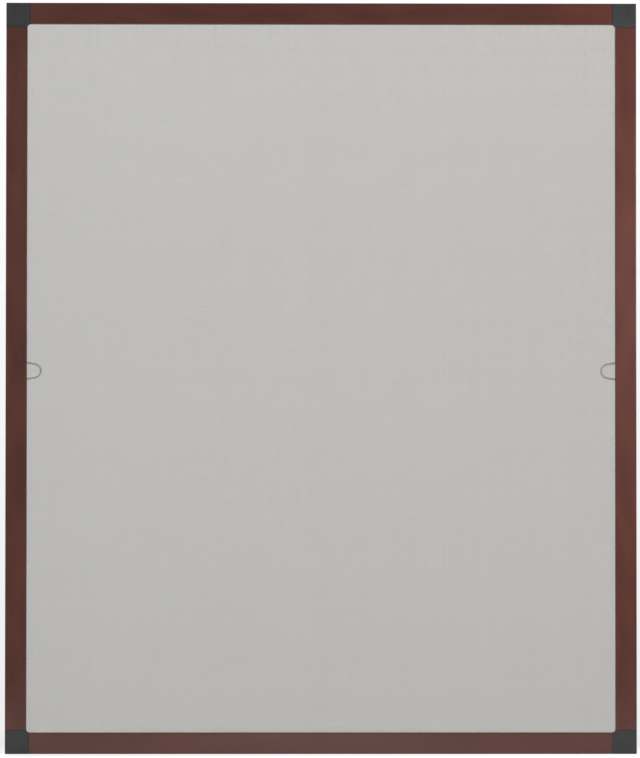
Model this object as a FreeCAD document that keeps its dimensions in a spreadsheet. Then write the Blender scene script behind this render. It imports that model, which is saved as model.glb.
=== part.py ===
# Window screen frame: hollow rails, moulded corners, cloth held by splines, two finger loops
# X runs to the right as seen from the front, -Y is the front, +Z is up, in millimetres
import FreeCAD, Part
import math
import os

import Sketcher

DRIVING_SIZES = {
    # The whole frame
    "overall_width": 1000,
    "overall_height": 1190,
    # Section of the rails
    "rail_width": 33.5,
    "rail_depth": 11,
    "wall": 1.3,
    "front_radius": 1.2,
    "back_bevel": 0.4,
    # Groove that takes the spline, open to the back, and the low lip between it and the opening
    "groove_width": 5,
    "groove_floor": 2.6,
    "lip_wall": 1.5,
    "lip_drop": 2.5,
    "tooth_height": 0.3,
    "tooth_pitch": 1.4,
    # Corner connectors
    "inner_radius": 5,
    "seam": 0.6,
    "seam_depth": 1,
    "arm_length": 50,
    "arm_clearance": 0.15,
    "arm_nose": 1.2,
    "arm_rib": 1.8,
    "barb_depth": 1,
    "barb_pitch": 7,
    # Screen cloth: the weave as a plain grid of openings, with a few thread ridges on each bar
    "cloth_thickness": 0.3,
    "mesh_bar": 27,
    "ridge_pitch": 8,
    "ridge_width": 0.9,
    "ridge_height": 0.15,
    # Spline
    "fit_clearance": 0.05,
    "flute_depth": 0.35,
    # Finger loops
    "tab_height": 605.8,
    "tab_reach": 23.3,
    "tab_width": 29.2,
    "tab_rim": 3.4,
    "tab_taper": 1.8,
    "tab_thickness": 1.2,
    "tab_foot": 0.6,
    "tab_edge": 0.35,
}
TOOTH_COUNT = 3
BARB_COUNT = 5
CELL_COUNT = 4
FLUTE_COUNT = 10
COLUMN_COUNT = 10
ROW_COUNT = 12
RIDGES_PER_BAR = 3


class Size:
    """A size in millimetres, with the formula that ties it to the sheet."""

    def __init__(self, value, formula):
        self.value = value
        self.formula = formula

    def __add__(self, other):
        other = as_size(other)
        return Size(self.value + other.value, f"({self.formula} + {other.formula})")

    def __sub__(self, other):
        other = as_size(other)
        return Size(self.value - other.value, f"({self.formula} - {other.formula})")

    def __mul__(self, other):
        other = as_size(other)
        return Size(self.value * other.value, f"({self.formula} * {other.formula})")

    def __truediv__(self, other):
        other = as_size(other)
        return Size(self.value / other.value, f"({self.formula} / {other.formula})")

    def __neg__(self):
        return as_size(0) - self


def as_size(number):
    return number if isinstance(number, Size) else Size(number, str(number))


doc = FreeCAD.newDocument("WindowScreen")
sheet = doc.addObject("Spreadsheet::Sheet", "Sizes")
for row, (alias, number) in enumerate(DRIVING_SIZES.items(), start=1):
    sheet.set(f"A{row}", alias)
    sheet.set(f"B{row}", str(number))
    sheet.setAlias(f"B{row}", alias)
doc.recompute()


def driving(alias):
    return Size(float(sheet.get(alias)), f"Sizes.{alias}")


overall_width = driving("overall_width")
overall_height = driving("overall_height")
rail_width = driving("rail_width")
rail_depth = driving("rail_depth")
wall = driving("wall")
front_radius = driving("front_radius")
back_bevel = driving("back_bevel")
lip_wall = driving("lip_wall")
groove_floor = driving("groove_floor")
inner_radius = driving("inner_radius")
seam = driving("seam")
arm_length = driving("arm_length")
arm_clearance = driving("arm_clearance")
barb_depth = driving("barb_depth")
cloth_thickness = driving("cloth_thickness")
mesh_bar = driving("mesh_bar")
ridge_pitch = driving("ridge_pitch")
ridge_width = driving("ridge_width")
ridge_height = driving("ridge_height")
fit_clearance = driving("fit_clearance")
tooth_height = driving("tooth_height")
tooth_pitch = driving("tooth_pitch")
tab_height = driving("tab_height")
tab_width = driving("tab_width")
tab_foot = driving("tab_foot")

# Distances from a rail's outer edge, from its front face, and from an outer corner
half_width = overall_width / 2
lip_side = rail_width - lip_wall
web_side = lip_side - driving("groove_width")
chamber_end = web_side - wall
lip_top = rail_depth - driving("lip_drop")
corner_leg = rail_width + inner_radius
spline_radius = (lip_side - cloth_thickness - web_side - tooth_height) / 2 - fit_clearance
spline_line = web_side + tooth_height + fit_clearance + spline_radius
spline_depth = groove_floor + cloth_thickness + fit_clearance + spline_radius
spline_side = spline_line + spline_radius + fit_clearance
spline_end = web_side + fit_clearance
tab_side = lip_side - cloth_thickness - tab_foot
tab_depth = lip_top + cloth_thickness + ridge_height + fit_clearance


def bind(thing, **sizes):
    """Ties each named property to the sheet. Two underscores stand for a dot."""
    for name, value in sizes.items():
        thing.setExpression(name.replace("__", "."), as_size(value).formula)


def new_body(name, turn=0, x=0, y=0, z=0):
    """A body turned about the Y axis, with its own origin at x, y, z."""
    body = doc.addObject("PartDesign::Body", name)
    body.Label = name
    body.Placement.Rotation = FreeCAD.Rotation(FreeCAD.Vector(0, 1, 0), turn)
    bind(body, Placement__Base__x=x, Placement__Base__y=y, Placement__Base__z=z)
    return body


def new_sketch(body, role, name):
    sketch = body.newObject("Sketcher::SketchObject", name)
    plane = next(f for f in body.Origin.OriginFeatures if f.Role == role)
    sketch.AttachmentSupport = [(plane, "")]
    sketch.MapMode = "FlatFace"
    return sketch


def front_sketch(body, name, depth):
    """A sketch seen from the front, with X across and Z up, at a depth behind the front face."""
    sketch = new_sketch(body, "XZ_Plane", name)
    bind(sketch, AttachmentOffset__Base__z=rail_depth / 2 - depth)
    return sketch


def point(x, y):
    return FreeCAD.Vector(as_size(x).value, as_size(y).value, 0)


def fix_point(rules, formulas, item, end, x, y):
    """Adds the two rules that place one end of an item from the sketch's origin."""
    for kind, place in (("DistanceX", x), ("DistanceY", y)):
        place = as_size(place)
        formulas[len(rules)] = place.formula
        rules.append(Sketcher.Constraint(kind, -1, 1, item, end, place.value))


def apply_rules(sketch, rules, formulas):
    first = sketch.ConstraintCount
    sketch.addConstraint(rules)
    for index, formula in formulas.items():
        sketch.setExpression(f"Constraints[{first + index}]", formula)


def outline(sketch, corners):
    """Draws a closed outline through corners (x, y).

    A corner (x, y, centre, radius) starts an arc about that centre, which ends at the next corner.
    """
    first = sketch.GeometryCount
    count = len(corners)
    starts, ends, radii = [], [], {}
    for index, corner in enumerate(corners):
        here, there = point(*corner[:2]), point(*corners[(index + 1) % count][:2])
        if len(corner) == 2:
            sketch.addGeometry(Part.LineSegment(here, there), False)
            starts.append(1)
            ends.append(2)
            continue
        centre = point(*corner[2])
        anticlockwise = (here - centre).cross(there - centre).z > 0
        begin, stop = (here, there) if anticlockwise else (there, here)
        circle = Part.Circle(centre, FreeCAD.Vector(0, 0, 1), (here - centre).Length)
        angles = [math.atan2(p.y - centre.y, p.x - centre.x) for p in (begin, stop)]
        sketch.addGeometry(Part.ArcOfCircle(circle, *angles), False)
        starts.append(1 if anticlockwise else 2)
        ends.append(2 if anticlockwise else 1)
        radii[index] = corner[3]
    rules, formulas = [], {}
    for index, corner in enumerate(corners):
        after = (index + 1) % count
        rules.append(
            Sketcher.Constraint("Coincident", first + index, ends[index], first + after, starts[after])
        )
        fix_point(rules, formulas, first + index, starts[index], *corner[:2])
    for index, radius in radii.items():
        formulas[len(rules)] = radius.formula
        rules.append(Sketcher.Constraint("Radius", first + index, radius.value))
    apply_rules(sketch, rules, formulas)


def rectangle(sketch, left, low, right, high):
    outline(sketch, [(left, low), (right, low), (right, high), (left, high)])


def loop_outline(sketch, base, middle, radius):
    """Draws lines through the base's corners, and two legs from its ends that run into a round tip."""
    item = sketch.GeometryCount
    centre = point(middle, 0)
    corners = [point(*corner) for corner in base]
    away = corners[0] - centre
    angle = math.atan2(away.y, away.x) - math.acos(radius.value / away.Length)
    touch = FreeCAD.Vector(math.cos(angle), math.sin(angle), 0) * radius.value
    mirrored = FreeCAD.Vector(touch.x, -touch.y, 0)
    tip = Part.ArcOfCircle(Part.Circle(centre, FreeCAD.Vector(0, 0, 1), radius.value), -angle, angle)
    rules, formulas = [], {}
    for here, there, corner in zip(corners, [*corners[1:], centre + mirrored], base):
        sketch.addGeometry(Part.LineSegment(here, there), False)
        fix_point(rules, formulas, sketch.GeometryCount - 1, 1, *corner)
    arc = sketch.addGeometry(tip, False)
    last_leg = sketch.addGeometry(Part.LineSegment(centre + touch, corners[0]), False)
    fix_point(rules, formulas, arc, 3, middle, 0)
    formulas[len(rules)] = radius.formula
    rules.append(Sketcher.Constraint("Radius", arc, radius.value))
    for line in range(item, arc - 1):
        rules.append(Sketcher.Constraint("Coincident", line, 2, line + 1, 1))
    rules.append(Sketcher.Constraint("Tangent", arc - 1, 2, arc, 1))
    rules.append(Sketcher.Constraint("Tangent", arc, 2, last_leg, 1))
    rules.append(Sketcher.Constraint("Coincident", last_leg, 2, item, 1))
    apply_rules(sketch, rules, formulas)


def disc(sketch, x, y, radius):
    item = sketch.addGeometry(Part.Circle(point(x, y), FreeCAD.Vector(0, 0, 1), radius.value), False)
    rules, formulas = [], {}
    fix_point(rules, formulas, item, 3, x, y)
    formulas[len(rules)] = radius.formula
    rules.append(Sketcher.Constraint("Radius", item, radius.value))
    apply_rules(sketch, rules, formulas)


def add_pad(body, sketch, length, backwards=False):
    """Adds material along the sketch's normal, or against it."""
    pad = body.newObject("PartDesign::Pad", f"{sketch.Name}_pad")
    pad.Profile = sketch
    pad.Reversed = backwards
    bind(pad, Length=length)
    sketch.Visibility = False
    doc.recompute()
    return pad


def add_pocket(body, sketch, length=None):
    """Cuts against the sketch's normal, or right through on both sides if it has no length."""
    before = body.Shape.Volume
    pocket = body.newObject("PartDesign::Pocket", f"{sketch.Name}_pocket")
    pocket.Profile = sketch
    if length is None:
        pocket.Type = "ThroughAll"
        pocket.Midplane = True
    else:
        bind(pocket, Length=length)
    doc.recompute()
    if body.Shape.Volume >= before:
        raise RuntimeError(f"{pocket.Name} cuts nothing")
    return pocket


def dress(body, kind, radius_name, radius, picks):
    """Rounds or bevels the edges of the body's last feature that picks says yes to."""
    base = body.Tip
    names = [f"Edge{i}" for i, edge in enumerate(base.Shape.Edges, start=1) if picks(edge)]
    if not names:
        raise RuntimeError(f"{body.Name} has no edge to dress")
    feature = body.newObject(f"PartDesign::{kind}", f"{body.Name}_{kind}")
    feature.Base = (base, names)
    bind(feature, **{radius_name: radius})
    doc.recompute()


def lies_at(edge, axis, place):
    """Whether an edge lies wholly at one place along the axis x, y or z of its body."""
    box = edge.BoundBox
    low, high = getattr(box, f"{axis}Min"), getattr(box, f"{axis}Max")
    return max(abs(low - as_size(place).value), abs(high - as_size(place).value)) < 1e-4


def is_straight(edge):
    return edge.Curve.TypeId == "Part::GeomLine"


def from_middle(depth):
    """A depth behind the front face, as a Y coordinate."""
    return depth - rail_depth / 2


def rounded(corner_x, corner_y, radius, way_in, way_out):
    """An arc that rounds a square corner. The ways are the (x, y) directions of travel."""
    centre = (
        corner_x + radius * (way_out[0] - way_in[0]),
        corner_y + radius * (way_out[1] - way_in[1]),
    )
    start = (corner_x - radius * way_in[0], corner_y - radius * way_in[1])
    end = (corner_x + radius * way_out[0], corner_y + radius * way_out[1])
    return [(*start, centre, radius), end]


RIGHT, UP, DOWN = (1, 0), (0, 1), (0, -1)


def rail_outline():
    """The extrusion's outside: front face, low lip, groove with its teeth, back face and edge."""
    front, back = from_middle(as_size(0)), from_middle(rail_depth)
    lip, floor = from_middle(lip_top), from_middle(groove_floor)
    outer = as_size(0)
    corners = rounded(rail_width, front, front_radius, RIGHT, UP)
    corners += [(rail_width, lip), (lip_side, lip), (lip_side, floor), (web_side, floor)]
    for tooth in range(TOOTH_COUNT):
        level = floor + tooth_pitch * (tooth + 1)
        corners += [
            (web_side, level - tooth_height),
            (web_side + tooth_height, level),
            (web_side, level + tooth_height),
        ]
    corners += [(web_side, back - back_bevel), (web_side - back_bevel, back)]
    corners += [(outer + back_bevel, back), (outer, back - back_bevel)]
    corners += rounded(outer, front, front_radius, DOWN, RIGHT)
    return corners


def make_rail(name, turn, x, z, length):
    body = new_body(name, turn, x=x, z=z)
    section = new_sketch(body, "XY_Plane", f"{name}_section")
    outline(section, rail_outline())
    rectangle(section, wall, from_middle(wall), chamber_end, from_middle(rail_depth - wall))
    add_pad(body, section, length)
    return body


def arm_outline(near, far, tip):
    """Both arms in one L, with barbs along their inner sides that bite on the way out."""
    valley = far - barb_depth
    steps = [tip - driving("barb_pitch") * (barb + 1) for barb in range(BARB_COUNT)]
    corners = [(near, near), (tip, near), (tip, valley)]
    for step in steps:
        corners += [(step, far), (step, valley)]
    corners.append((valley, valley))
    for step in reversed(steps):
        corners += [(valley, step), (far, step)]
    corners += [(valley, tip), (near, tip)]
    return corners


def add_arms(body):
    """Two arms that plug into the rails' chambers, cored out from the back into cells."""
    gap = wall + arm_clearance
    near, far = gap, chamber_end - arm_clearance
    tip = corner_leg + arm_length
    rib = driving("arm_rib")
    sketch = front_sketch(body, f"{body.Name}_arms", gap)
    outline(sketch, arm_outline(near, far, tip))
    add_pad(body, sketch, rail_depth - gap * 2, backwards=True)
    dress(
        body,
        "Chamfer",
        "Size",
        driving("arm_nose"),
        lambda edge: lies_at(edge, "X", tip) or lies_at(edge, "Z", tip),
    )
    cells = front_sketch(body, f"{body.Name}_cells", gap + rib)
    low, high = near + rib, far - barb_depth - rib
    step = (arm_length - rib) / CELL_COUNT
    for cell in range(CELL_COUNT):
        start = corner_leg + rib + step * cell
        stop = start + step - rib
        rectangle(cells, start, low, stop, high)
        rectangle(cells, low, start, high, stop)
    add_pocket(body, cells, rail_depth)


def make_corner(name, turn, x, z):
    body = new_body(name, turn, x=x, z=z)
    block = front_sketch(body, f"{name}_block", as_size(0))
    zero = as_size(0)
    outline(
        block,
        [
            (zero, zero),
            (corner_leg, zero),
            (corner_leg, rail_width, (corner_leg, corner_leg), inner_radius),
            (rail_width, corner_leg),
            (zero, corner_leg),
        ],
    )
    add_pad(body, block, rail_depth, backwards=True)
    front, back = from_middle(zero), from_middle(rail_depth)
    dress(
        body,
        "Fillet",
        "Radius",
        front_radius,
        lambda edge: (lies_at(edge, "X", zero) and lies_at(edge, "Z", zero))
        or lies_at(edge, "Y", front)
        and (lies_at(edge, "X", zero) or lies_at(edge, "Z", zero) or not is_straight(edge)),
    )
    dress(
        body,
        "Chamfer",
        "Size",
        back_bevel,
        lambda edge: lies_at(edge, "Y", back) and (lies_at(edge, "X", zero) or lies_at(edge, "Z", zero)),
    )
    shoulder = corner_leg - seam
    rebate = front_sketch(body, f"{name}_seam", zero)
    outline(
        rebate,
        [
            (shoulder, zero),
            (corner_leg, zero),
            (corner_leg, corner_leg),
            (zero, corner_leg),
            (zero, shoulder),
            (shoulder, shoulder),
        ],
    )
    add_pocket(body, rebate, driving("seam_depth"))
    recess = front_sketch(body, f"{name}_recess", lip_top)
    rectangle(recess, web_side, web_side, corner_leg, corner_leg)
    add_pocket(body, recess, rail_depth)
    groove = front_sketch(body, f"{name}_groove", groove_floor)
    outline(
        groove,
        [
            (web_side, web_side),
            (corner_leg, web_side),
            (corner_leg, lip_side),
            (lip_side, lip_side),
            (lip_side, corner_leg),
            (web_side, corner_leg),
        ],
    )
    add_pocket(body, groove, rail_depth)
    add_arms(body)
    return body


def four_sides(sketch, near, far, end):
    """One strip along each side of the frame, from near to far and short of the ends."""
    right, top = half_width - end, overall_height - end
    rectangle(sketch, near - half_width, end, far - half_width, top)
    rectangle(sketch, half_width - far, end, half_width - near, top)
    rectangle(sketch, end - half_width, near, right, far)
    rectangle(sketch, end - half_width, overall_height - far, right, overall_height - near)


def add_openings(body, name, pitch_across, pitch_up):
    """A plain grid of openings over the whole panel, with bars of cloth between them."""
    left, low = rail_width - half_width + mesh_bar / 2, rail_width + mesh_bar / 2
    sketch = front_sketch(body, name, lip_top)
    rectangle(sketch, left, low, left + pitch_across - mesh_bar, low + pitch_up - mesh_bar)
    opening = add_pocket(body, sketch)
    grid = body.newObject("PartDesign::LinearPattern", f"{name}_grid")
    grid.Originals = [opening]
    grid.Direction = (sketch, ["H_Axis"])
    grid.Direction2 = (sketch, ["V_Axis"])
    bind(grid, Length=pitch_across * (COLUMN_COUNT - 1), Length2=pitch_up * (ROW_COUNT - 1))
    grid.Occurrences = COLUMN_COUNT
    grid.Occurrences2 = ROW_COUNT
    body.Tip = grid
    doc.recompute()


def add_ridges(body, name, depth, pitch, bars, upright):
    """Thread ridges along the bars of one direction, short of the rails at both ends."""
    first_bar = rail_width + pitch
    sketch = front_sketch(body, name, depth)
    for ridge in range(RIDGES_PER_BAR):
        middle = first_bar + ridge_pitch * (ridge - (RIDGES_PER_BAR - 1) / 2)
        low, high = middle - ridge_width / 2, middle + ridge_width / 2
        if upright:
            rectangle(sketch, low - half_width, corner_leg, high - half_width, overall_height - corner_leg)
        else:
            rectangle(sketch, corner_leg - half_width, low, half_width - corner_leg, high)
    ridges = add_pad(body, sketch, ridge_height, backwards=True)
    threads = body.newObject("PartDesign::LinearPattern", f"{name}_pattern")
    threads.Originals = [ridges]
    threads.Direction = (sketch, ["H_Axis" if upright else "V_Axis"])
    bind(threads, Length=pitch * (bars - 1))
    threads.Occurrences = bars
    body.Tip = threads
    doc.recompute()


def make_cloth(name):
    """The cloth lies on the lips, turns down into the groove and runs under the splines."""
    body = new_body(name)
    panel = front_sketch(body, f"{name}_panel", lip_top)
    edge = half_width - lip_side
    rectangle(panel, -edge, lip_side, edge, overall_height - lip_side)
    add_pad(body, panel, cloth_thickness, backwards=True)
    turned = front_sketch(body, f"{name}_turned_edges", groove_floor)
    four_sides(turned, lip_side - cloth_thickness, lip_side, rail_width)
    add_pad(body, turned, lip_top - groove_floor + cloth_thickness, backwards=True)
    tucked = front_sketch(body, f"{name}_tucked_edges", groove_floor)
    four_sides(tucked, web_side + fit_clearance, lip_side - cloth_thickness, rail_width)
    add_pad(body, tucked, cloth_thickness, backwards=True)
    pitch_across = (overall_width - rail_width * 2) / COLUMN_COUNT
    pitch_up = (overall_height - rail_width * 2) / ROW_COUNT
    add_openings(body, f"{name}_openings", pitch_across, pitch_up)
    warp_depth, weft_depth = lip_top - ridge_height, lip_top + cloth_thickness
    add_ridges(body, f"{name}_warp", warp_depth, pitch_across, COLUMN_COUNT - 1, upright=True)
    add_ridges(body, f"{name}_weft", weft_depth, pitch_up, ROW_COUNT - 1, upright=False)
    return body


def make_spline(name, turn, x, z, length, dent=None):
    """A fluted cord. Where the foot of a finger loop is pressed in beside it, it has a dent."""
    body = new_body(name, turn, x=x, y=from_middle(spline_depth), z=z)
    section = new_sketch(body, "XY_Plane", f"{name}_section")
    disc(section, as_size(0), as_size(0), spline_radius)
    add_pad(body, section, length)
    flute = new_sketch(body, "XY_Plane", f"{name}_flute")
    cut_depth = driving("flute_depth")
    outline(
        flute,
        [
            (as_size(0), spline_radius - cut_depth),
            (cut_depth, spline_radius),
            (-cut_depth, spline_radius),
        ],
    )
    cut = add_pocket(body, flute)
    flutes = body.newObject("PartDesign::PolarPattern", f"{name}_flutes")
    flutes.Originals = [cut]
    flutes.Axis = (section, ["N_Axis"])
    flutes.Angle = 360
    flutes.Occurrences = FLUTE_COUNT
    body.Tip = flutes
    doc.recompute()
    if dent is not None:
        hollow = new_sketch(body, "XZ_Plane", f"{name}_dent")
        face = tab_side - fit_clearance - spline_line
        reach = tab_width / 2 + fit_clearance
        rectangle(hollow, face, dent - reach, spline_radius * 2, dent + reach)
        add_pocket(body, hollow)
    return body


def make_tab(name, turn, x):
    """A flat finger loop on the cloth, with a foot that the spline holds in the groove."""
    body = new_body(name, turn, x=x, z=tab_height)
    rim = driving("tab_rim")
    half = tab_width / 2
    inner = half - rim
    radius = half - driving("tab_taper")
    middle = rail_width + driving("tab_reach") - radius
    loop = front_sketch(body, f"{name}_loop", tab_depth)
    outside = [(rail_width, half), (tab_side, half), (tab_side, -half), (rail_width, -half)]
    loop_outline(loop, outside, middle, radius)
    loop_outline(loop, [(rail_width, inner), (rail_width, -inner)], middle, radius - rim)
    thickness = driving("tab_thickness")
    add_pad(body, loop, thickness, backwards=True)
    sides = (from_middle(tab_depth), from_middle(tab_depth + thickness))
    dress(
        body,
        "Chamfer",
        "Size",
        driving("tab_edge"),
        lambda edge: any(lies_at(edge, "Y", side) for side in sides) and not lies_at(edge, "X", tab_side),
    )
    foot_depth = groove_floor + cloth_thickness + fit_clearance
    foot = front_sketch(body, f"{name}_foot", foot_depth)
    rectangle(foot, tab_side, -half, lip_side - cloth_thickness, half)
    add_pad(body, foot, tab_depth + thickness - foot_depth, backwards=True)
    return body


long_side = overall_height - corner_leg * 2
short_side = overall_width - corner_leg * 2
upright_cord = overall_height - spline_end * 2
level_cord = overall_width - spline_side * 2
spline_top_line = overall_height - spline_line
pieces = [
    make_rail("rail_left", 0, -half_width, corner_leg, long_side),
    make_rail("rail_top", 90, corner_leg - half_width, overall_height, short_side),
    make_rail("rail_right", 180, half_width, overall_height - corner_leg, long_side),
    make_rail("rail_bottom", 270, half_width - corner_leg, as_size(0), short_side),
    make_corner("corner_bottom_left", 0, -half_width, as_size(0)),
    make_corner("corner_top_left", 90, -half_width, overall_height),
    make_corner("corner_top_right", 180, half_width, overall_height),
    make_corner("corner_bottom_right", 270, half_width, as_size(0)),
    make_cloth("insect_screen"),
    make_spline(
        "spline_left",
        0,
        spline_line - half_width,
        spline_end,
        upright_cord,
        tab_height - spline_end,
    ),
    make_spline(
        "spline_right",
        180,
        half_width - spline_line,
        overall_height - spline_end,
        upright_cord,
        overall_height - spline_end - tab_height,
    ),
    make_spline("spline_top", 90, spline_side - half_width, spline_top_line, level_cord),
    make_spline("spline_bottom", 270, half_width - spline_side, spline_line, level_cord),
    make_tab("pull_tab_left", 0, -half_width),
    make_tab("pull_tab_right", 180, half_width),
]
doc.recompute()

for thing in doc.Objects:
    if "Invalid" in thing.State or "Error" in thing.State:
        raise RuntimeError(f"{thing.Name} failed: {thing.State}")
for piece in pieces:
    if piece.Shape.isNull() or not piece.Shape.isValid() or len(piece.Shape.Solids) != 1:
        raise RuntimeError(f"{piece.Label} isn't one valid solid")

os.makedirs("parts", exist_ok=True)
for piece in pieces:
    piece.Shape.exportStep(f"parts/{piece.Label}.step")
    print(piece.Label, round(piece.Shape.Volume / 1000, 2), "cm3", piece.Shape.BoundBox)
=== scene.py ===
import math
import random

import bpy
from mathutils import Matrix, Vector


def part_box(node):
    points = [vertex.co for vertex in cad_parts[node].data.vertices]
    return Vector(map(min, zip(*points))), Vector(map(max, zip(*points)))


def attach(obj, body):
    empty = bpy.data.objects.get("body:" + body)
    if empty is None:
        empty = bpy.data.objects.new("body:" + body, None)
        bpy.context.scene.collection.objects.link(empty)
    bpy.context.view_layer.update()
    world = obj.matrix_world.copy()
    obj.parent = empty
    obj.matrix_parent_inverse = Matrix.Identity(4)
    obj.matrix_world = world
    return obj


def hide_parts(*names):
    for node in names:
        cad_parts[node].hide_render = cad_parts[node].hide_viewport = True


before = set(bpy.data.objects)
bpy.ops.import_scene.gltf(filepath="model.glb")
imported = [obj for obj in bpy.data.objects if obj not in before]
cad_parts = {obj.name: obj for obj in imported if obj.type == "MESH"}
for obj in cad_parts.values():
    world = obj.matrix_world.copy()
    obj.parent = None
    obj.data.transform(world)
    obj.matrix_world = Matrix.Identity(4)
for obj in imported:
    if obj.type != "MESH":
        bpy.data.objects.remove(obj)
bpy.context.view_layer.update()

MM = 0.001
SIDES = ("left", "right", "top", "bottom")
LOOP_SIDES = ("left", "right")
CORNERS = ("top_left", "top_right", "bottom_left", "bottom_right")
X_AXIS, Z_AXIS = 0, 2

# Camera, fitted to the outer and inner corners of the frame in the photograph
CAMERA_LENS = 150.0
CAMERA_PLACE = (-0.03947, -5.00946, 0.51426)
CAMERA_TILT = (math.pi / 2 + 0.01578, -0.00058, -0.0075)

# Screen cloth: flat glass-fibre threads in two layers, welded where they cross
THREAD_PITCH = 1.1 * MM
THREAD_WIDTH = 0.334 * MM
THREAD_THICKNESS = 0.2 * MM
LAYER_OFFSET = 0.07 * MM
CLOTH_THICKNESS = 2 * LAYER_OFFSET + THREAD_THICKNESS

# Unevenness of the weave, as shares of the pitch and of the width
PITCH_JITTER = 0.045
WIDTH_JITTER = 0.045
CLOTH_SEED = 7

# The plain cloth solid that the threads replace, and a cord's distance from the middle of the cloth
SOLID_CLOTH = 0.3 * MM
SOLID_RIDGE = 0.15 * MM
CORD_TO_CLOTH = 0.2 * MM

# Finishes: detail of the broad and fine noise, share of the fine one, and the span that most noise fills
TONE_DETAIL = 3.0
GRAIN_DETAIL = 4.0
GRAIN_SHARE = 0.5
NOISE_SPAN = (0.3, 0.7)
EVENLY = (1.0, 1.0, 1.0)

# Polyester powder coat of the rails, with its streaks drawn out along them
COAT_IOR = 1.57
STREAK_STRETCH = 0.25

# Milky plastic of the finger loops
LOOP_TRANSMISSION = 0.7

# Floor disc, mostly in front of the part, drawn out along x and faded into the pale surroundings
FLOOR_CENTRE = (0.0, -0.15, -0.5 * MM)
FLOOR_RADIUS = 1.6
FLOOR_SIDES = 96
FLOOR_STRETCH = (0.6, 1.0, 1.0)
FLOOR_FADE = (0.25, 0.65)
FLOOR_TONE = (0.5, 0.5, 0.5, 1.0)

# Glow of the floor in front of the part and behind it, and where it goes from one to the other
FLOOR_GLOW = (0.78, 0.42)
FLOOR_GLOW_EDGES = (0.05, 0.3)

# Surroundings: light on the part, and the dim room in front that it mirrors
WORLD_LIGHT = (0.5, 0.5, 0.5, 1.0)
ROOM_TONE = (0.18, 0.18, 0.18, 1.0)

# Backdrop: its tone by the z of the line of sight, with painted shade in a grey band just below eye level,
# and the y between which it takes over from the room
BACKDROP_SHADE_TONES = {-0.5: 1.0, -0.22: 0.97, -0.105: 0.85, 0.13: 1.0}
BACKDROP_EDGES = (-0.1, 0.4)

# Square lamps: side in metres, power in watts
LAMPS = {
    "key": {"place": (1.15, -0.6, 0.82), "target": (0.45, 0.0, 0.85), "size": 0.4, "power": 9.2},
    "fill": {"place": (-2.0, -1.7, 1.2), "target": (-0.3, 0.0, 0.8), "size": 1.2, "power": 20.3},
    "sheen": {"place": (0.64, -1.5, 0.72), "target": (0.48, 0.0, 0.67), "size": 0.45, "power": 0.27},
    "low": {"place": (-0.02, -0.75, 0.1), "target": (-0.02, 0.0, 0.02), "size": 0.4, "power": 0.44},
    "back": {"place": (-1.4, 2.4, 2.0), "target": (0.0, 0.0, 0.6), "size": 1.4, "power": 24.0},
}


def add_node(tree, kind, inputs=None, **settings):
    """A shader node with its settings and the values of its sockets."""
    node = tree.nodes.new(kind)
    for name, value in settings.items():
        setattr(node, name, value)
    for socket, value in (inputs or {}).items():
        node.inputs[socket].default_value = value
    return node


def main_shader(material):
    """The shader that a new node material comes with."""
    return material.node_tree.nodes["Principled BSDF"]


def new_material(name):
    """A node material with nothing set yet."""
    material = bpy.data.materials.new(name)
    material.use_nodes = True
    return material


def place_coordinates(tree, stretch=EVENLY):
    """Coordinates in metres on the object, times the stretch along each axis."""
    source = add_node(tree, "ShaderNodeTexCoord")
    mapping = add_node(tree, "ShaderNodeMapping", {"Scale": stretch})
    tree.links.new(source.outputs["Object"], mapping.inputs["Vector"])
    return mapping.outputs["Vector"]


def noise(tree, coordinates, scale, detail):
    """Noise between 0 and 1, with scale in cells per metre."""
    node = add_node(tree, "ShaderNodeTexNoise", {"Scale": scale, "Detail": detail})
    tree.links.new(coordinates, node.inputs["Vector"])
    return node.outputs["Fac"]


def colour_between(tree, factor, dark, light, start, stop):
    """Colour that goes from dark to light as the factor goes from start to stop."""
    ramp = add_node(tree, "ShaderNodeValToRGB")
    first, last = ramp.color_ramp.elements
    first.position, first.color = start, (*dark, 1.0)
    last.position, last.color = stop, (*light, 1.0)
    tree.links.new(factor, ramp.inputs["Fac"])
    return ramp.outputs["Color"]


def value_between(tree, factor, low, high, start, stop):
    """Number that goes from low to high as the factor goes from start to stop."""
    ranges = {"From Min": start, "From Max": stop, "To Min": low, "To Max": high}
    node = add_node(tree, "ShaderNodeMapRange", ranges)
    tree.links.new(factor, node.inputs["Value"])
    return node.outputs["Result"]


def smooth_step(tree, value, low, high):
    """Number that goes smoothly from 0 to 1 as the value goes from low to high."""
    ranges = {"From Min": low, "From Max": high}
    node = add_node(tree, "ShaderNodeMapRange", ranges, interpolation_type="SMOOTHSTEP")
    tree.links.new(value, node.inputs["Value"])
    return node.outputs["Result"]


def bump(tree, shader, height, distance):
    """Surface relief of the given distance in metres."""
    node = add_node(tree, "ShaderNodeBump", {"Distance": distance})
    tree.links.new(height, node.inputs["Height"])
    tree.links.new(node.outputs["Normal"], shader.inputs["Normal"])


def speckle(tree, broad, fine):
    """Mix of the broad and the fine noise."""
    broad_part = add_node(tree, "ShaderNodeMath", {1: 1 - GRAIN_SHARE}, operation="MULTIPLY")
    tree.links.new(broad, broad_part.inputs[0])
    both = add_node(tree, "ShaderNodeMath", {1: GRAIN_SHARE}, operation="MULTIPLY_ADD")
    tree.links.new(fine, both.inputs[0])
    tree.links.new(broad_part.outputs["Value"], both.inputs[2])
    return both.outputs["Value"]


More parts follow.
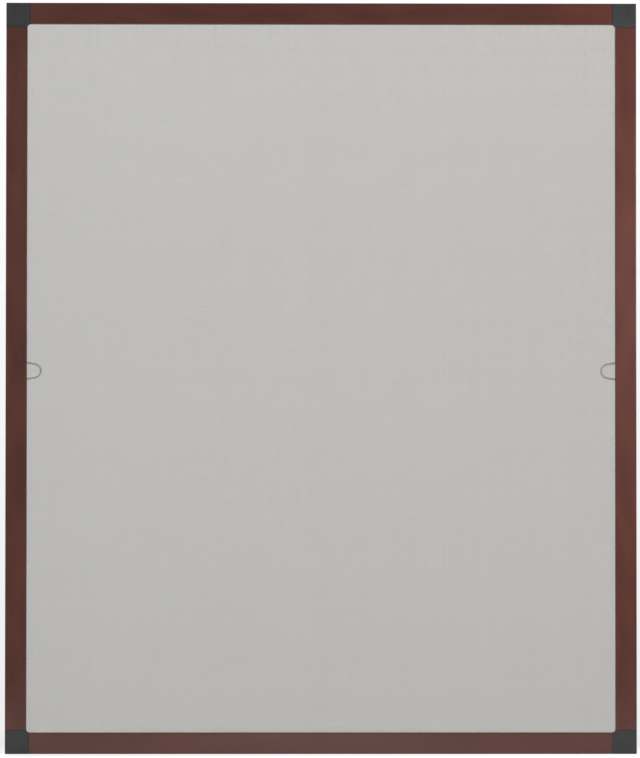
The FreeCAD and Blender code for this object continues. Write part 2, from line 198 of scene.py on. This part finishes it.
def grained_material(name, dark, light, tone_scale, grain_scale, grain_height, roughness, stretch=EVENLY):
    """Finish with broad tone, fine speckle, uneven gloss and a surface grain."""
    material = new_material(name)
    tree = material.node_tree
    shader = main_shader(material)
    broad = noise(tree, place_coordinates(tree, stretch), tone_scale, TONE_DETAIL)
    fine = noise(tree, place_coordinates(tree), grain_scale, GRAIN_DETAIL)
    speckled = speckle(tree, broad, fine)
    colour = colour_between(tree, speckled, dark, light, *NOISE_SPAN)
    tree.links.new(colour, shader.inputs["Base Color"])
    gloss = value_between(tree, speckled, *roughness, *NOISE_SPAN)
    tree.links.new(gloss, shader.inputs["Roughness"])
    bump(tree, shader, fine, grain_height)
    return material


def rail_coat(name, along):
    """Brown satin powder coat, with a faint streak along the extrusion."""
    stretch = list(EVENLY)
    stretch[along] = STREAK_STRETCH
    material = grained_material(
        name,
        dark=(0.0732, 0.0184, 0.0117),
        light=(0.1225, 0.0318, 0.0205),
        tone_scale=45.0,
        grain_scale=500.0,
        grain_height=0.07 * MM,
        roughness=(0.28, 0.38),
        stretch=stretch,
    )
    main_shader(material).inputs["IOR"].default_value = COAT_IOR
    return material


def corner_plastic():
    """Dark grey moulded plastic with an eroded grain."""
    return grained_material(
        "corner_plastic",
        dark=(0.022, 0.0226, 0.0226),
        light=(0.040, 0.0410, 0.0410),
        tone_scale=70.0,
        grain_scale=900.0,
        grain_height=0.09 * MM,
        roughness=(0.45, 0.6),
    )


def spline_vinyl():
    """Black soft vinyl with a dull skin."""
    return grained_material(
        "spline_vinyl",
        dark=(0.012, 0.012, 0.012),
        light=(0.020, 0.020, 0.020),
        tone_scale=90.0,
        grain_scale=1500.0,
        grain_height=0.04 * MM,
        roughness=(0.45, 0.6),
    )


def tab_plastic():
    """Milky translucent plastic of the finger loops."""
    material = grained_material(
        "tab_plastic",
        dark=(0.80, 0.80, 0.77),
        light=(0.88, 0.88, 0.85),
        tone_scale=120.0,
        grain_scale=1500.0,
        grain_height=0.01 * MM,
        roughness=(0.3, 0.45),
    )
    main_shader(material).inputs["Transmission Weight"].default_value = LOOP_TRANSMISSION
    return material


def thread_coat():
    """Warm grey coated glass-fibre thread."""
    return grained_material(
        "screen_cloth",
        dark=(0.110, 0.095, 0.048),
        light=(0.150, 0.130, 0.070),
        tone_scale=60.0,
        grain_scale=4000.0,
        grain_height=0.01 * MM,
        roughness=(0.45, 0.6),
    )


def dress(node_name, material):
    """Gives a solid of the frame its finish."""
    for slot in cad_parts[node_name].material_slots:
        slot.material = material


def dress_frame():
    """Finishes of the rails, corners, cords and finger loops."""
    upright = rail_coat("rail_coat_upright", Z_AXIS)
    level = rail_coat("rail_coat_level", X_AXIS)
    coats = {"left": upright, "right": upright, "top": level, "bottom": level}
    vinyl = spline_vinyl()
    for side in SIDES:
        dress("rail_" + side, coats[side])
        dress("spline_" + side, vinyl)
    plastic = corner_plastic()
    for corner in CORNERS:
        dress("corner_" + corner, plastic)
    pale = tab_plastic()
    for side in LOOP_SIDES:
        dress("pull_tab_" + side, pale)


def mitre_normals(path):
    """Normals of a path in its plane, lengthened at the bends so that a thread keeps its thickness."""
    normals = []
    for (run_a, y_a), (run_b, y_b) in zip(path, path[1:]):
        length = math.hypot(run_b - run_a, y_b - y_a)
        normals.append(Vector((-(y_b - y_a) / length, (run_b - run_a) / length)))
    mitres = [normals[0]]
    for before, after in zip(normals, normals[1:]):
        half = (before + after).normalized()
        mitres.append(half / half.dot(after))
    mitres.append(normals[-1])
    return mitres


class ThreadMesh:
    """Collects threads as closed tubes with a flat six-sided section."""

    def __init__(self):
        self.points = []
        self.faces = []

    def add(self, path, place, width, along_x):
        """Adds one thread: path holds (run, y) points, place is its coordinate across the run."""
        edge = width / 2
        flat = width / 4
        rise = THREAD_THICKNESS / 2
        section = [(edge, 0.0), (flat, rise), (-flat, rise), (-edge, 0.0), (-flat, -rise), (flat, -rise)]
        sides = len(section)
        first = len(self.points)
        for (run, depth), (normal_run, normal_depth) in zip(path, mitre_normals(path)):
            for across, out in section:
                along = run + out * normal_run
                y = depth + out * normal_depth
                if along_x:
                    self.points.append((along, y, place + across))
                else:
                    self.points.append((place + across, y, along))
        # The order of corners that makes a face look outwards
        order = -1 if along_x else 1
        for ring in range(len(path) - 1):
            start = first + ring * sides
            for side in range(sides):
                after = (side + 1) % sides
                face = (start + side, start + after, start + sides + after, start + sides + side)
                self.faces.append(face[::order])
        head = tuple(range(first, first + sides))
        tail = tuple(range(len(self.points) - sides, len(self.points)))
        self.faces.append(head[::-order])
        self.faces.append(tail[::order])

    def to_object(self, name):
        """Makes the scene object."""
        mesh = bpy.data.meshes.new(name)
        mesh.from_pydata(self.points, [], self.faces)
        mesh.polygons.foreach_set("use_smooth", [True] * len(mesh.polygons))
        mesh.update()
        piece = bpy.data.objects.new(name, mesh)
        bpy.context.scene.collection.objects.link(piece)
        return piece


def spread(low, high, rng):
    """Places of parallel threads from low to high, a little uneven."""
    count = int((high - low) / THREAD_PITCH)
    step = (high - low) / count
    for index in range(count):
        yield low + (index + 0.5 + rng.uniform(-PITCH_JITTER, PITCH_JITTER)) * step


def weave_direction(threads, along_x, layer, edges, folds, opening, depths, rng):
    """Lays the threads of one direction: across the opening, over both lips and under the cords."""
    run, across = (0, 1) if along_x else (1, 0)
    panel, floor = (depth + layer for depth in depths)
    cut_low, cut_high = edges[run]
    wall_low, wall_high = folds[run]
    wall_low, wall_high = wall_low - layer, wall_high + layer
    open_low, open_high = opening[across]
    folded = [
        (cut_low, floor),
        (wall_low, floor),
        (wall_low, panel),
        (wall_high, panel),
        (wall_high, floor),
        (cut_high, floor),
    ]
    straight = [(wall_low, panel), (wall_high, panel)]
    for place in spread(*folds[across], rng):
        path = folded if open_low < place < open_high else straight
        width = THREAD_WIDTH * (1 + rng.uniform(-WIDTH_JITTER, WIDTH_JITTER))
        threads.add(path, place, width, along_x)


def weave_turned_edges(threads, along_x, depth, edges, folds, opening, rng):
    """Lays the threads that run along the turned edges, on the groove floor beside each lip."""
    run, across = (0, 1) if along_x else (1, 0)
    path = [(end, depth) for end in opening[run]]
    for cut, wall in zip(edges[across], folds[across]):
        for place in spread(min(cut, wall), max(cut, wall), rng):
            threads.add(path, place, THREAD_WIDTH, along_x)


def make_cloth():
    """The woven cloth: stretched over the opening, turned down at each lip and tucked under the cords."""
    rng = random.Random(CLOTH_SEED)
    low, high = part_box("insect_screen")
    opening_low = Vector((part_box("rail_left")[1].x, 0.0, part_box("rail_bottom")[1].z))
    opening_high = Vector((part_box("rail_right")[0].x, 0.0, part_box("rail_top")[0].z))
    lip_top = high.y - SOLID_RIDGE - SOLID_CLOTH
    panel = lip_top + CLOTH_THICKNESS / 2
    floor = low.y + CLOTH_THICKNESS / 2
    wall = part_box("spline_left")[1].x + CORD_TO_CLOTH
    wall_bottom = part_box("spline_bottom")[1].z + CORD_TO_CLOTH
    wall_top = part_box("spline_top")[0].z - CORD_TO_CLOTH
    # Ranges along x and along z: between the cut edges, between the turned walls, and of the opening
    edges = ((low.x, high.x), (low.z, high.z))
    folds = ((wall, -wall), (wall_bottom, wall_top))
    opening = ((opening_low.x, opening_high.x), (opening_low.z, opening_high.z))
    threads = ThreadMesh()
    for along_x, layer in ((True, -LAYER_OFFSET), (False, LAYER_OFFSET)):
        weave_direction(threads, along_x, layer, edges, folds, opening, (panel, floor), rng)
        weave_turned_edges(threads, along_x, floor + layer, edges, folds, opening, rng)
    cloth = threads.to_object("screen_threads")
    cloth.data.materials.append(thread_coat())
    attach(cloth, "root")
    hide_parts("insect_screen")


def largest(tree, *values):
    """The largest of several numbers."""
    top = values[0]
    for value in values[1:]:
        node = add_node(tree, "ShaderNodeMath", operation="MAXIMUM")
        tree.links.new(top, node.inputs[0])
        tree.links.new(value, node.inputs[1])
        top = node.outputs["Value"]
    return top


def seen_rays(tree):
    """1 for rays from the camera and for those that it sees mirrored or through something, else 0."""
    path = add_node(tree, "ShaderNodeLightPath").outputs
    return largest(tree, path["Is Camera Ray"], path["Is Glossy Ray"], path["Is Transmission Ray"])


def mix_shaders(tree, factor, first, second):
    """First shader where the factor is 0, second where it is 1."""
    node = add_node(tree, "ShaderNodeMixShader")
    tree.links.new(factor, node.inputs["Fac"])
    tree.links.new(first, node.inputs[1])
    tree.links.new(second, node.inputs[2])
    return node.outputs["Shader"]


def floor_glow(tree, place):
    """Glow that only seen rays meet, stronger in front of the part than behind it."""
    parts = add_node(tree, "ShaderNodeSeparateXYZ")
    tree.links.new(place, parts.inputs["Vector"])
    level = value_between(tree, parts.outputs["Y"], *FLOOR_GLOW, *FLOOR_GLOW_EDGES)
    strength = add_node(tree, "ShaderNodeMath", operation="MULTIPLY")
    tree.links.new(seen_rays(tree), strength.inputs[0])
    tree.links.new(level, strength.inputs[1])
    glow = add_node(tree, "ShaderNodeEmission")
    tree.links.new(strength.outputs["Value"], glow.inputs["Strength"])
    return glow.outputs["Emission"]


def floor_finish():
    """Pale floor that keeps the shadow near the part and fades out further away."""
    material = new_material("floor")
    tree = material.node_tree
    tree.nodes.remove(main_shader(material))
    place = place_coordinates(tree, FLOOR_STRETCH)
    diffuse = add_node(tree, "ShaderNodeBsdfDiffuse", {"Color": FLOOR_TONE})
    lit = add_node(tree, "ShaderNodeAddShader")
    tree.links.new(diffuse.outputs["BSDF"], lit.inputs[0])
    tree.links.new(floor_glow(tree, place), lit.inputs[1])
    distance = add_node(tree, "ShaderNodeVectorMath", operation="LENGTH")
    tree.links.new(place, distance.inputs[0])
    fade = smooth_step(tree, distance.outputs["Value"], *FLOOR_FADE)
    clear = add_node(tree, "ShaderNodeBsdfTransparent")
    shader = mix_shaders(tree, fade, lit.outputs["Shader"], clear.outputs["BSDF"])
    tree.links.new(shader, tree.nodes["Material Output"].inputs["Surface"])
    return material


def make_floor():
    """The floor disc under the part."""
    turns = [2 * math.pi * step / FLOOR_SIDES for step in range(FLOOR_SIDES)]
    rim = [(FLOOR_RADIUS * math.cos(turn), FLOOR_RADIUS * math.sin(turn), 0.0) for turn in turns]
    mesh = bpy.data.meshes.new("floor")
    mesh.from_pydata(rim, [], [tuple(range(FLOOR_SIDES))])
    mesh.materials.append(floor_finish())
    floor = bpy.data.objects.new("floor", mesh)
    floor.location = FLOOR_CENTRE
    bpy.context.scene.collection.objects.link(floor)


def backdrop_shade_tone(tree, height):
    """Tone of the backdrop by height, with painted shade: palest at the top, greyer just below eye level,
    and pale again towards the floor.
    """
    low, high = min(BACKDROP_SHADE_TONES), max(BACKDROP_SHADE_TONES)
    ramp = add_node(tree, "ShaderNodeValToRGB")
    stops = ramp.color_ramp.elements
    while len(stops) < len(BACKDROP_SHADE_TONES):
        stops.new(position=0.5)
    for stop, (place, tone) in zip(stops, sorted(BACKDROP_SHADE_TONES.items())):
        stop.position = (place - low) / (high - low)
        stop.color = (tone, tone, tone, 1.0)
    tree.links.new(value_between(tree, height, 0.0, 1.0, low, high), ramp.inputs["Fac"])
    return ramp.outputs["Color"]


def make_world():
    """Soft grey light all round. The camera sees a pale backdrop with a band of painted shade just below
    eye level, which the part mirrors with the room.
    """
    world = bpy.data.worlds.new("studio")
    world.use_nodes = True
    tree = world.node_tree
    light = tree.nodes["Background"]
    light.inputs["Color"].default_value = WORLD_LIGHT
    coordinates = add_node(tree, "ShaderNodeTexCoord")
    direction = add_node(tree, "ShaderNodeSeparateXYZ")
    tree.links.new(coordinates.outputs["Generated"], direction.inputs["Vector"])
    backdrop = add_node(tree, "ShaderNodeBackground")
    # The backdrop's tone holds painted shade, greyer just below eye level
    tree.links.new(backdrop_shade_tone(tree, direction.outputs["Z"]), backdrop.inputs["Color"])
    room = add_node(tree, "ShaderNodeBackground", {"Color": ROOM_TONE})
    behind = smooth_step(tree, direction.outputs["Y"], *BACKDROP_EDGES)
    camera = add_node(tree, "ShaderNodeLightPath").outputs["Is Camera Ray"]
    pale = largest(tree, camera, behind)
    seen = mix_shaders(tree, pale, room.outputs["Background"], backdrop.outputs["Background"])
    shader = mix_shaders(tree, seen_rays(tree), light.outputs["Background"], seen)
    tree.links.new(shader, tree.nodes["World Output"].inputs["Surface"])
    bpy.context.scene.world = world


def add_lamp(name, place, target, size, power):
    """A square soft light that faces the target."""
    lamp = bpy.data.lights.new(name, "AREA")
    lamp.size = size
    lamp.energy = power
    holder = bpy.data.objects.new(name, lamp)
    holder.location = place
    aim = Vector(target) - Vector(place)
    holder.rotation_euler = aim.to_track_quat("-Z", "Y").to_euler()
    bpy.context.scene.collection.objects.link(holder)


def make_lamps():
    """Key light from the right, fill from the left, two weak lights in front and a soft one behind."""
    for name, lamp in LAMPS.items():
        add_lamp(name, **lamp)


def make_camera():
    """Camera at the photograph's viewing angle."""
    camera = bpy.data.cameras.new("camera")
    camera.lens = CAMERA_LENS
    holder = bpy.data.objects.new("camera", camera)
    holder.location = CAMERA_PLACE
    holder.rotation_euler = CAMERA_TILT
    bpy.context.scene.collection.objects.link(holder)
    bpy.context.scene.camera = holder


make_camera()
make_cloth()
dress_frame()
make_floor()
make_world()
make_lamps()
bpy.context.scene.view_settings.view_transform = "Standard"
